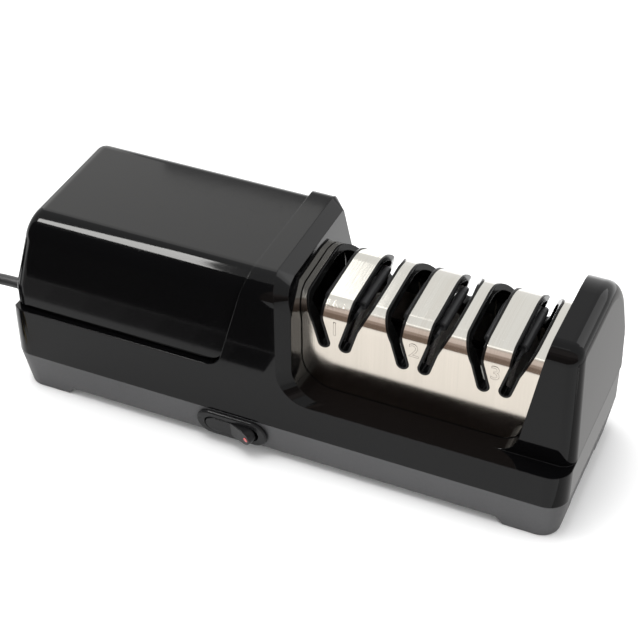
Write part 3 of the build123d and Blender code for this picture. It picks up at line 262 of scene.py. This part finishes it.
def brushed_sheet(name):
    """Stainless sheet brushed from front to back: fine lines, darker and lighter bands, finger haze that
    blurs the gloss; level tops painted lighter and upright fronts painted darker, as painted light and
    shade.
    """
    finish = Finish(name, STEEL_LIT_TOP, 0.12, 1.0)
    line = finish.noise(1, 3.0, (2600, 14, 14), (5, 3, 1), 0.6)
    fine = finish.noise(1, 2.0, (7000, 40, 40), (1, 2, 7))
    band = finish.noise(1, 2.0, (160, 2, 2), (8, 1, 3))
    haze = finish.noise(26, 3.0, shift=(4, 4, 4))
    # painted light and shade: level tops take the lighter tone, upright fronts the darker one
    painted_light_mask = finish.spread(finish.facing_up(), 0.2, 0.9)
    lit_and_shaded_tone = finish.mix(painted_light_mask, STEEL_SHADED_FRONT, STEEL_LIT_TOP)
    dark = finish.mix(painted_light_mask, STEEL_SHADED_BAND, STEEL_SHADED_FRONT)
    share = finish.spread(line, 0.3, 0.7, 0.0, 0.3) + finish.spread(band, 0.35, 0.65, 0.0, 0.2)
    finish.set("Base Color", finish.mix(share, lit_and_shaded_tone, dark))
    blur = finish.spread(fine, 0.3, 0.7, 0.09, 0.14) + finish.spread(haze, 0.5, 0.75, 0.0, 0.05)
    finish.set("Roughness", blur)
    finish.bump(line + fine * 0.5, 0.00003, 0.6, finish.soft_edge(METAL_EDGE))
    return finish.material


def worked_metal(name, colour, roughness, stain=0.35):
    """Turned, plated or drawn metal: tool lines, duller stains and brighter rubbed edges."""
    finish = Finish(name, colour, roughness, 1.0)
    line = finish.noise(1, 2.0, (2700, 180, 180))
    cloud = finish.noise(130, 4.0, shift=(2, 3, 5))
    edge = finish.edge(METAL_EDGE)
    dull = tuple(0.55 * c for c in colour)
    stained = finish.mix(finish.spread(cloud, 0.42, 0.7, 0.0, stain), colour, dull)
    bright = tuple(min(1, 1.2 * c) for c in colour)
    finish.set("Base Color", finish.mix(edge * 0.6, stained, bright))
    finish.set("Roughness", roughness + finish.spread(cloud, 0.4, 0.7, 0.0, 0.18) - edge * 0.08)
    finish.bump(line, 0.00002, 0.4)
    return finish.material


def laminated_core(name):
    """Stack of sheet-steel plates: lines across the shaft, varnished dark."""
    finish = Finish(name, (0.16, 0.16, 0.17), 0.45, 0.9)
    across = finish.noise(1, 1.0, (2000, 4, 4))
    cloud = finish.noise(160, 3.0)
    plates = finish.mix(finish.spread(across, 0.4, 0.6), (0.12, 0.12, 0.13), (0.26, 0.26, 0.27))
    finish.set("Base Color", plates)
    finish.set("Roughness", finish.spread(cloud, 0.3, 0.7, 0.35, 0.6))
    finish.bump(across, 0.0001, 0.8)
    return finish.material


def wound_copper(name):
    """Enamelled wire laid turn by turn, with a darker varnish in the gaps."""
    finish = Finish(name, (0.62, 0.25, 0.1), 0.3, 1.0)
    turns = finish.noise(1, 1.0, (90, 2400, 2400))
    cloud = finish.noise(200, 3.0)
    wires = finish.mix(finish.spread(turns, 0.45, 0.6), (0.3, 0.1, 0.04), (0.72, 0.32, 0.14))
    finish.set("Base Color", wires)
    finish.set("Roughness", finish.spread(cloud, 0.3, 0.7, 0.22, 0.42))
    finish.bump(turns, 0.00012, 0.8)
    return finish.material


def grit_disc(name):
    """Abrasive grit bonded on steel: bright grains in a grey coat, worn to the metal in places."""
    finish = Finish(name, (0.36, 0.34, 0.31), 0.7)
    grain = finish.cells(2600)
    cloud = finish.noise(240, 3.0)
    grit = finish.mix(finish.spread(grain, 0.2, 0.6), (0.52, 0.5, 0.46), (0.2, 0.19, 0.18))
    finish.set("Base Color", grit)
    finish.set("Metallic", finish.spread(cloud, 0.5, 0.65, 0.0, 0.6))
    finish.set("Roughness", finish.spread(cloud, 0.35, 0.7, 0.75, 0.45))
    finish.bump(1 - grain, 0.00012, 0.9)
    return finish.material


def rubbery(name, colour, roughness):
    """Rubber or soft sheath: fine matt skin, paler bloom, a few scuffs."""
    finish = Finish(name, colour, roughness, Specular_IOR_Level=0.4)
    skin = finish.noise(2200, 2.0)
    bloom = finish.noise(70, 3.0, shift=(1, 7, 3))
    scuff = finish.scratches(300, (0.3, 1, 1), (3, 3, 8), 0.01)
    paler = tuple(min(1, 1.8 * c + 0.02) for c in colour)
    share = finish.spread(bloom, 0.42, 0.75, 0.0, 0.35) + scuff * 0.3
    finish.set("Base Color", finish.mix(share, colour, paler))
    finish.set("Roughness", finish.spread(skin, 0.3, 0.7, roughness - 0.05, roughness + 0.1))
    finish.bump(skin + scuff * 0.3, 0.00004, 0.5)
    return finish.material


def red_inlay(name):
    """Red mark let into the rocker: clear gloss, a little deeper in places, with a faint painted glow though
    it is no lamp.
    """
    # painted glow: the mark gives off a little light of its own, though it is no lamp
    finish = Finish(name, (0.45, 0.008, 0.01), 0.15, Coat_Weight=0.6, Emission_Strength=0.12)
    mottle = finish.noise(900, 2.0)
    red_with_painted_glow = finish.mix(finish.spread(mottle, 0.3, 0.7), (0.5, 0.012, 0.014), (0.32, 0.006, 0.008))
    finish.set("Base Color", red_with_painted_glow)
    finish.set("Emission Color", red_with_painted_glow)
    finish.set("Roughness", finish.spread(mottle, 0.3, 0.7, 0.1, 0.22))
    return finish.material


FINISHES = {
    "black_body": gloss_moulding("black_body", (0.002, 0.002, 0.0022), 0.045, smear=0.03),
    "cover_black": gloss_moulding("cover_black", (0.002, 0.002, 0.0022), 0.06, smear=0.02),
    "base_grey": matt_moulding("base_grey", (0.042, 0.042, 0.044), 0.5),
    "brushed_steel": brushed_sheet("brushed_steel"),
    "liner_black": gloss_moulding("liner_black", (0.003, 0.003, 0.003), 0.14, FINE_MOULDED_EDGE, dust=0.1),
    "bar_black": gloss_moulding("bar_black", (0.02, 0.02, 0.021), 0.3, FINE_MOULDED_EDGE, dust=0.1),
    "rubber_black": rubbery("rubber_black", (0.02, 0.02, 0.021), 0.75),
    "spring_steel": worked_metal("spring_steel", (0.55, 0.55, 0.56), 0.25),
    "zinc_steel": worked_metal("zinc_steel", (0.58, 0.58, 0.56), 0.32),
    "shaft_steel": worked_metal("shaft_steel", (0.6, 0.6, 0.62), 0.2, stain=0.15),
    "abrasive": grit_disc("abrasive"),
    "bronze": worked_metal("bronze", (0.55, 0.36, 0.17), 0.4),
    "core_steel": laminated_core("core_steel"),
    "copper": wound_copper("copper"),
    "white_plastic": matt_moulding("white_plastic", (0.68, 0.68, 0.64), 0.45),
    "carbon": matt_moulding("carbon", (0.03, 0.03, 0.03), 0.5),
    "switch_black": gloss_moulding("switch_black", (0.009, 0.009, 0.0095), 0.22, dust=0.15),
    "red_mark": red_inlay("red_mark"),
    "cord_black": rubbery("cord_black", (0.014, 0.014, 0.015), 0.42),
    "blade_brass": worked_metal("blade_brass", (0.7, 0.55, 0.26), 0.25, stain=0.25),
}
SLOT_OF = {entry["node"]: entry["material_slot"] for entry in frame["record"]["subparts"]}
for name, node in frame["nodes"].items():
    node.data.materials.clear()
    node.data.materials.append(FINISHES[SLOT_OF[name]])


def add_piece(name, mesh, body, slot_name):
    """New piece that rides on a body, with one of the finishes."""
    piece = bpy.data.objects.new(name, mesh)
    bpy.context.collection.objects.link(piece)
    mesh.materials.append(FINISHES[slot_name])
    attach(piece, body)


def mesh_from(name, form):
    """Mesh of a finished form, shaded smooth."""
    mesh = bpy.data.meshes.new(name)
    bmesh.ops.recalc_face_normals(form, faces=form.faces)
    form.to_mesh(mesh)
    form.free()
    for face in mesh.polygons:
        face.use_smooth = True
    return mesh


# ---------------------------------------------------------------- mains cord
CORD_R = 2.9 * MM
CORD_EXIT = (-164.0, MIDDLE_Y, 21.3)
CORD_ROUTE = (
    CORD_EXIT,
    (-175.0, MIDDLE_Y, 21.3),
    (-189.0, MIDDLE_Y, 18.9),
    (-202.5, MIDDLE_Y, 14.4),
    (-213.0, MIDDLE_Y, 14.4),
)
COIL_CENTRE = (-233.6, MIDDLE_Y - 34.9)
COIL_OUTER = 34.9
COIL_INNER = 29.1
LAYER_Z = (14.4, 8.7, 2.9)
COIL_OUT_X = 12.0
PLUG_TAIL_X = -209.0
TURN_POINTS = 16
# length along CORD_ROUTE with its bends rounded, and on from its end to the coil
ROUTE_LENGTH = 49.8
RUN_TO_COIL = 20.6
# each whole turn: radius and height where it starts, and where it ends
TURNS = (
    (COIL_OUTER, LAYER_Z[0], COIL_INNER, LAYER_Z[0]),
    (COIL_INNER, LAYER_Z[0], COIL_INNER, LAYER_Z[1]),
    (COIL_INNER, LAYER_Z[1], COIL_INNER, LAYER_Z[2]),
    (COIL_INNER, LAYER_Z[2], COIL_OUTER, LAYER_Z[2]),
    (COIL_OUTER, LAYER_Z[2], COIL_OUTER, LAYER_Z[1]),
)


def coil_point(radius, share, z):
    """Point of the coil after a share of a turn, which starts at its back."""
    angle = math.radians(90) + 2 * math.pi * share
    return (COIL_CENTRE[0] + radius * math.cos(angle), COIL_CENTRE[1] + radius * math.sin(angle), z)


def cord_points():
    """Route points in millimetres: the chosen ones, then the coil's turns, then the end at the plug."""
    points = list(CORD_ROUTE)
    for r0, z0, r1, z1 in TURNS:
        for step in range(TURN_POINTS):
            share = step / TURN_POINTS
            ease = share * share * (3 - 2 * share)
            points.append(coil_point(r0 + (r1 - r0) * ease, share, z0 + (z1 - z0) * ease))
    radius, z = TURNS[-1][2:]
    for step in range(TURN_POINTS // 2 + 1):
        points.append(coil_point(radius, step / TURN_POINTS, z))
    for x in (COIL_CENTRE[0] + COIL_OUT_X, PLUG_TAIL_X):
        points.append((x, COIL_CENTRE[1] - radius, z))
    return points


def make_cord():
    """Cord as one round tube along its route, in place of the two plain solids of the frame."""
    curve = bpy.data.curves.new("mains_cord_line", "CURVE")
    curve.dimensions = "3D"
    curve.bevel_depth = CORD_R
    curve.bevel_resolution = 5
    curve.use_fill_caps = True
    curve.resolution_u = 6
    spline = curve.splines.new("NURBS")
    points = cord_points()
    spline.points.add(len(points) - 1)
    for spot, point in zip(spline.points, points):
        spot.co = (point[0] * MM, point[1] * MM, point[2] * MM, 1)
    spline.order_u = 3
    spline.use_endpoint_u = True
    cord = bpy.data.objects.new("cord_line", curve)
    bpy.context.collection.objects.link(cord)
    curve.materials.append(FINISHES["cord_black"])
    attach(cord, "machine")
    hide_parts("mains_cord", "cord_coil")
    turns = sum(math.pi * (r0 + r1) for r0, _, r1, _ in TURNS) + math.pi * COIL_OUTER
    length = (ROUTE_LENGTH + RUN_TO_COIL + turns + PLUG_TAIL_X - COIL_CENTRE[0]) * MM


make_cord()

# ---------------------------------------------------------------- marks on the steel
STAGE_X = (23.5, 61.5, 99.3)
PLATE_Y = MIDDLE_Y - 30.0
DIGIT_HIGH = 7.4
DIGIT_FOOT = 71.3
DIGIT_LINE = 0.09
# a figure is this share of the font's size high, and it stands just into the sheet
DIGIT_SHARE = 0.7
DIGIT_SUNK = 0.05


def make_digits():
    """Stage numbers as thin outlines on the front of the sheet."""
    for count, x in enumerate(STAGE_X, 1):
        text = bpy.data.curves.new(f"digit_{count}", "FONT")
        text.body = str(count)
        text.align_x = "CENTER"
        text.size = DIGIT_HIGH / DIGIT_SHARE * MM
        text.fill_mode = "NONE"
        text.bevel_depth = DIGIT_LINE * MM
        text.bevel_resolution = 1
        draft = bpy.data.objects.new("draft", text)
        bpy.context.collection.objects.link(draft)
        draft.location = (x * MM, (PLATE_Y + DIGIT_SUNK) * MM, DIGIT_FOOT * MM)
        draft.rotation_euler = (math.radians(90), 0, 0)
        bpy.context.view_layer.update()
        drawn = draft.evaluated_get(bpy.context.evaluated_depsgraph_get())
        mesh = bpy.data.meshes.new_from_object(drawn)
        mesh.transform(draft.matrix_world)
        mesh.materials.clear()
        bpy.data.objects.remove(draft)
        mesh.name = f"stage_number_{count}"
        add_piece(f"stage_number_{count}", mesh, "machine", "liner_black")


make_digits()

# ---------------------------------------------------------------- caps on the guide bars
STAGES = ("coarse", "fine", "polish")
BAR_X = 8.1
# place along the bar's end, radius and drop of each ring of a cap
CAP_RINGS = ((8.2, 2.1, 0.0), (9.4, 2.1, 0.0), (12.5, 1.9, 0.25), (14.6, 1.5, 0.8), (15.2, 0.9, 1.0))
CAP_Z = 81.1
CAP_SIDES = 20


def cap_form(middle):
    """Closed form of a cap through its rings, about a line that stands at middle along X."""
    form = bmesh.new()
    rings = []
    for along, radius, drop in CAP_RINGS:
        ring = []
        for step in range(CAP_SIDES):
            angle = 2 * math.pi * step / CAP_SIDES
            x = middle + radius * math.cos(angle)
            z = CAP_Z - drop + radius * math.sin(angle)
            ring.append(form.verts.new((x * MM, (along + MIDDLE_Y) * MM, z * MM)))
        rings.append(ring)
    for near, far in zip(rings, rings[1:]):
        for step in range(CAP_SIDES):
            after = (step + 1) % CAP_SIDES
            form.faces.new((near[step], near[after], far[after], far[step]))
    form.faces.new(rings[0])
    form.faces.new(rings[-1])
    return form


def make_bar_caps():
    """Tapered rubber cap on the far end of every guide bar."""
    for stage, middle in zip(STAGES, STAGE_X):
        for side, way in (("left", -1), ("right", 1)):
            name = f"bar_cap_{stage}_{side}"
            mesh = mesh_from(name, cap_form(middle + way * BAR_X))
            add_piece(name, mesh, f"guide_arm_{stage}_{side}", "bar_black")


make_bar_caps()


# ---------------------------------------------------------------- floor and light
FLOOR_REACH = 3.0
FLOOR_WHITE = (0.93, 0.93, 0.93)
WORLD_STRENGTH = 1.05
TOP_BOX_PLACE = (-0.12, 0.0, 0.9)
TOP_BOX_SIZE = (0.8, 0.6)
TOP_BOX_POWER = 8


def stage_card(name, corners, sockets):
    """Flat piece of the stage with a plain material; corners go round it, in metres."""
    mesh = bpy.data.meshes.new(name)
    mesh.from_pydata(corners, [], [tuple(range(len(corners)))])
    card = bpy.data.objects.new(name, mesh)
    bpy.context.collection.objects.link(card)
    material = bpy.data.materials.new(name)
    material.use_nodes = True
    shader = material.node_tree.nodes["Principled BSDF"]
    for key, value in sockets.items():
        shader.inputs[key].default_value = value
    mesh.materials.append(material)
    return card


def reflector(name, corners, colour, strength):
    """Studio card that is seen only in glossy surfaces, as bright as strength."""
    sockets = {
        "Base Color": (0, 0, 0, 1),
        "Specular IOR Level": 0,
        "Emission Color": (*colour, 1),
        "Emission Strength": strength,
    }
    card = stage_card(name, corners, sockets)
    card.visible_camera = False
    card.visible_diffuse = False
    card.visible_shadow = False
    card.visible_transmission = False


def box_corners(start, end, low, high):
    """Corners of an oblong between two places each way."""
    return ((start, low), (end, low), (end, high), (start, high))


def upright_card(name, y, outline, colour, strength):
    """Card that stands across Y, with its outline in X and Z."""
    reflector(name, [(x, y, z) for x, z in outline], colour, strength)


def level_card(name, z, outline, colour, strength):
    """Card that lies level at z, with its outline in X and Y."""
    reflector(name, [(x, y, z) for x, y in outline], colour, strength)


def make_floor():
    """Plain white floor."""
    corners = [(x, y, 0) for x, y in box_corners(-FLOOR_REACH, FLOOR_REACH, -FLOOR_REACH, FLOOR_REACH)]
    sockets = {"Base Color": (*FLOOR_WHITE, 1), "Roughness": 0.9, "Specular IOR Level": 0.1}
    stage_card("floor", corners, sockets)


def make_world():
    """Even white surroundings."""
    world = bpy.data.worlds.new("studio")
    world.use_nodes = True
    background = world.node_tree.nodes["Background"]
    background.inputs["Color"].default_value = (1, 1, 1, 1)
    background.inputs["Strength"].default_value = WORLD_STRENGTH
    bpy.context.scene.world = world
    bpy.context.scene.view_settings.view_transform = "Standard"


def make_top_box():
    """Large soft light overhead, which makes the shadow on the floor."""
    data = bpy.data.lights.new("top_box", "AREA")
    data.shape = "RECTANGLE"
    data.size, data.size_y = TOP_BOX_SIZE
    data.energy = TOP_BOX_POWER
    light = bpy.data.objects.new("top_box", data)
    light.location = TOP_BOX_PLACE
    light.rotation_mode = "QUATERNION"
    light.rotation_quaternion = (-Vector(TOP_BOX_PLACE)).to_track_quat("-Z", "Y")
    bpy.context.collection.objects.link(light)
    light.visible_glossy = False


make_floor()
make_world()
make_top_box()

# ---------------------------------------------------------------- cards that only reflections show
FRONT_Y = -0.1147
BACK_Y = 0.5
BOX_Z = 0.6
OVER_FLOOR = 0.0006
# left of this place the cards in front serve the cover, right of it the steel
CARD_SPLIT = -0.031
CARD_REACH = (-0.6, 0.4)

# dark card in front: its foot is where the black fronts turn from grey to black
DARK_OUTLINE = box_corners(CARD_REACH[0], CARD_SPLIT, low=0.001, high=0.24)
upright_card("dark_card", FRONT_Y, DARK_OUTLINE, colour=(1.0, 0.92, 0.88), strength=0.06)
# what stands over the horizon in the bend of the steel: foot, head and colour, brown below, paler above
BEND_BANDS = (
    (0.073, 0.119, (0.28, 0.21, 0.175)),
    (0.119, 0.150, (0.47, 0.37, 0.33)),
    (0.150, 0.230, (0.88, 0.75, 0.70)),
    (0.230, 0.290, (0.68, 0.60, 0.55)),
)
for count, (foot, head, colour) in enumerate(BEND_BANDS):
    band_outline = box_corners(CARD_SPLIT, CARD_REACH[1], foot, head)
    upright_card(f"bend_card_{count}", FRONT_Y, band_outline, colour, strength=1.0)
# the foot of the cover's front gets darker towards the arch
RAMP = 10
RAMP_START = -0.25
RAMP_BACK = -0.1
RAMP_BRIGHT = 0.75
RAMP_DARK = 0.05
RAMP_TINT = (1, 0.98, 0.97)
ramp_step = (CARD_SPLIT - RAMP_START) / RAMP
for count in range(RAMP):
    start = RAMP_START + count * ramp_step
    strength = RAMP_BRIGHT * (1 - (count + 0.5) / RAMP) + RAMP_DARK
    ramp_outline = box_corners(start, start + ramp_step, FRONT_Y, RAMP_BACK)
    level_card(f"ramp_card_{count}", OVER_FLOOR, ramp_outline, RAMP_TINT, strength)
# floor beside the right end, which that end mirrors
SIDE_OUTLINE = box_corners(0.141, 0.32, low=-0.06, high=0.3)
level_card("side_card", OVER_FLOOR, SIDE_OUTLINE, colour=(1.0, 0.99, 0.98), strength=0.75)
# long soft box overhead: the bright line along the upper rounding of the cover's front
BOX_OUTLINE = (
    (-0.500, -0.462),
    (-0.392, -0.392),
    (-0.292, -0.331),
    (-0.261, -0.330),
    (-0.231, 0.010),
    (-0.260, 0.007),
    (-0.338, -0.090),
    (-0.407, -0.176),
    (-0.459, -0.330),
)
level_card("bright_card", BOX_Z, BOX_OUTLINE, colour=(1.0, 0.99, 0.97), strength=34.0)
# narrow strip for the bright line along the bend of the steel
STRIP_OUTLINE = box_corners(-0.1, 0.14, low=-0.215, high=-0.165)
level_card("strip_card", BOX_Z, STRIP_OUTLINE, colour=(1.0, 0.99, 0.97), strength=2.0)
# card to the right behind: lifts the bevel of the arch
BEVEL_OUTLINE = box_corners(0.25, 0.6, low=0.2, high=0.55)
upright_card("bevel_card", BACK_Y, BEVEL_OUTLINE, colour=(1.0, 1.0, 1.0), strength=2.6)
# low card behind: lifts the leaning back of the casing
LEAN_OUTLINE = box_corners(-0.45, -0.12, low=0.005, high=0.19)
upright_card("lean_card", BACK_Y, LEAN_OUTLINE, colour=(1.0, 1.0, 0.99), strength=2.4)
# card behind: lifts the top of the cover and the arch
BACK_OUTLINE = ((-0.7, 0.2), (-0.36, 0.2), (-0.36, 0.47), (-0.21, 0.47), (-0.21, 0.9), (-0.7, 0.9))
upright_card("back_card", BACK_Y, BACK_OUTLINE, colour=(1.0, 0.995, 0.98), strength=2.6)

# ---------------------------------------------------------------- finish
bpy.context.view_layer.update()
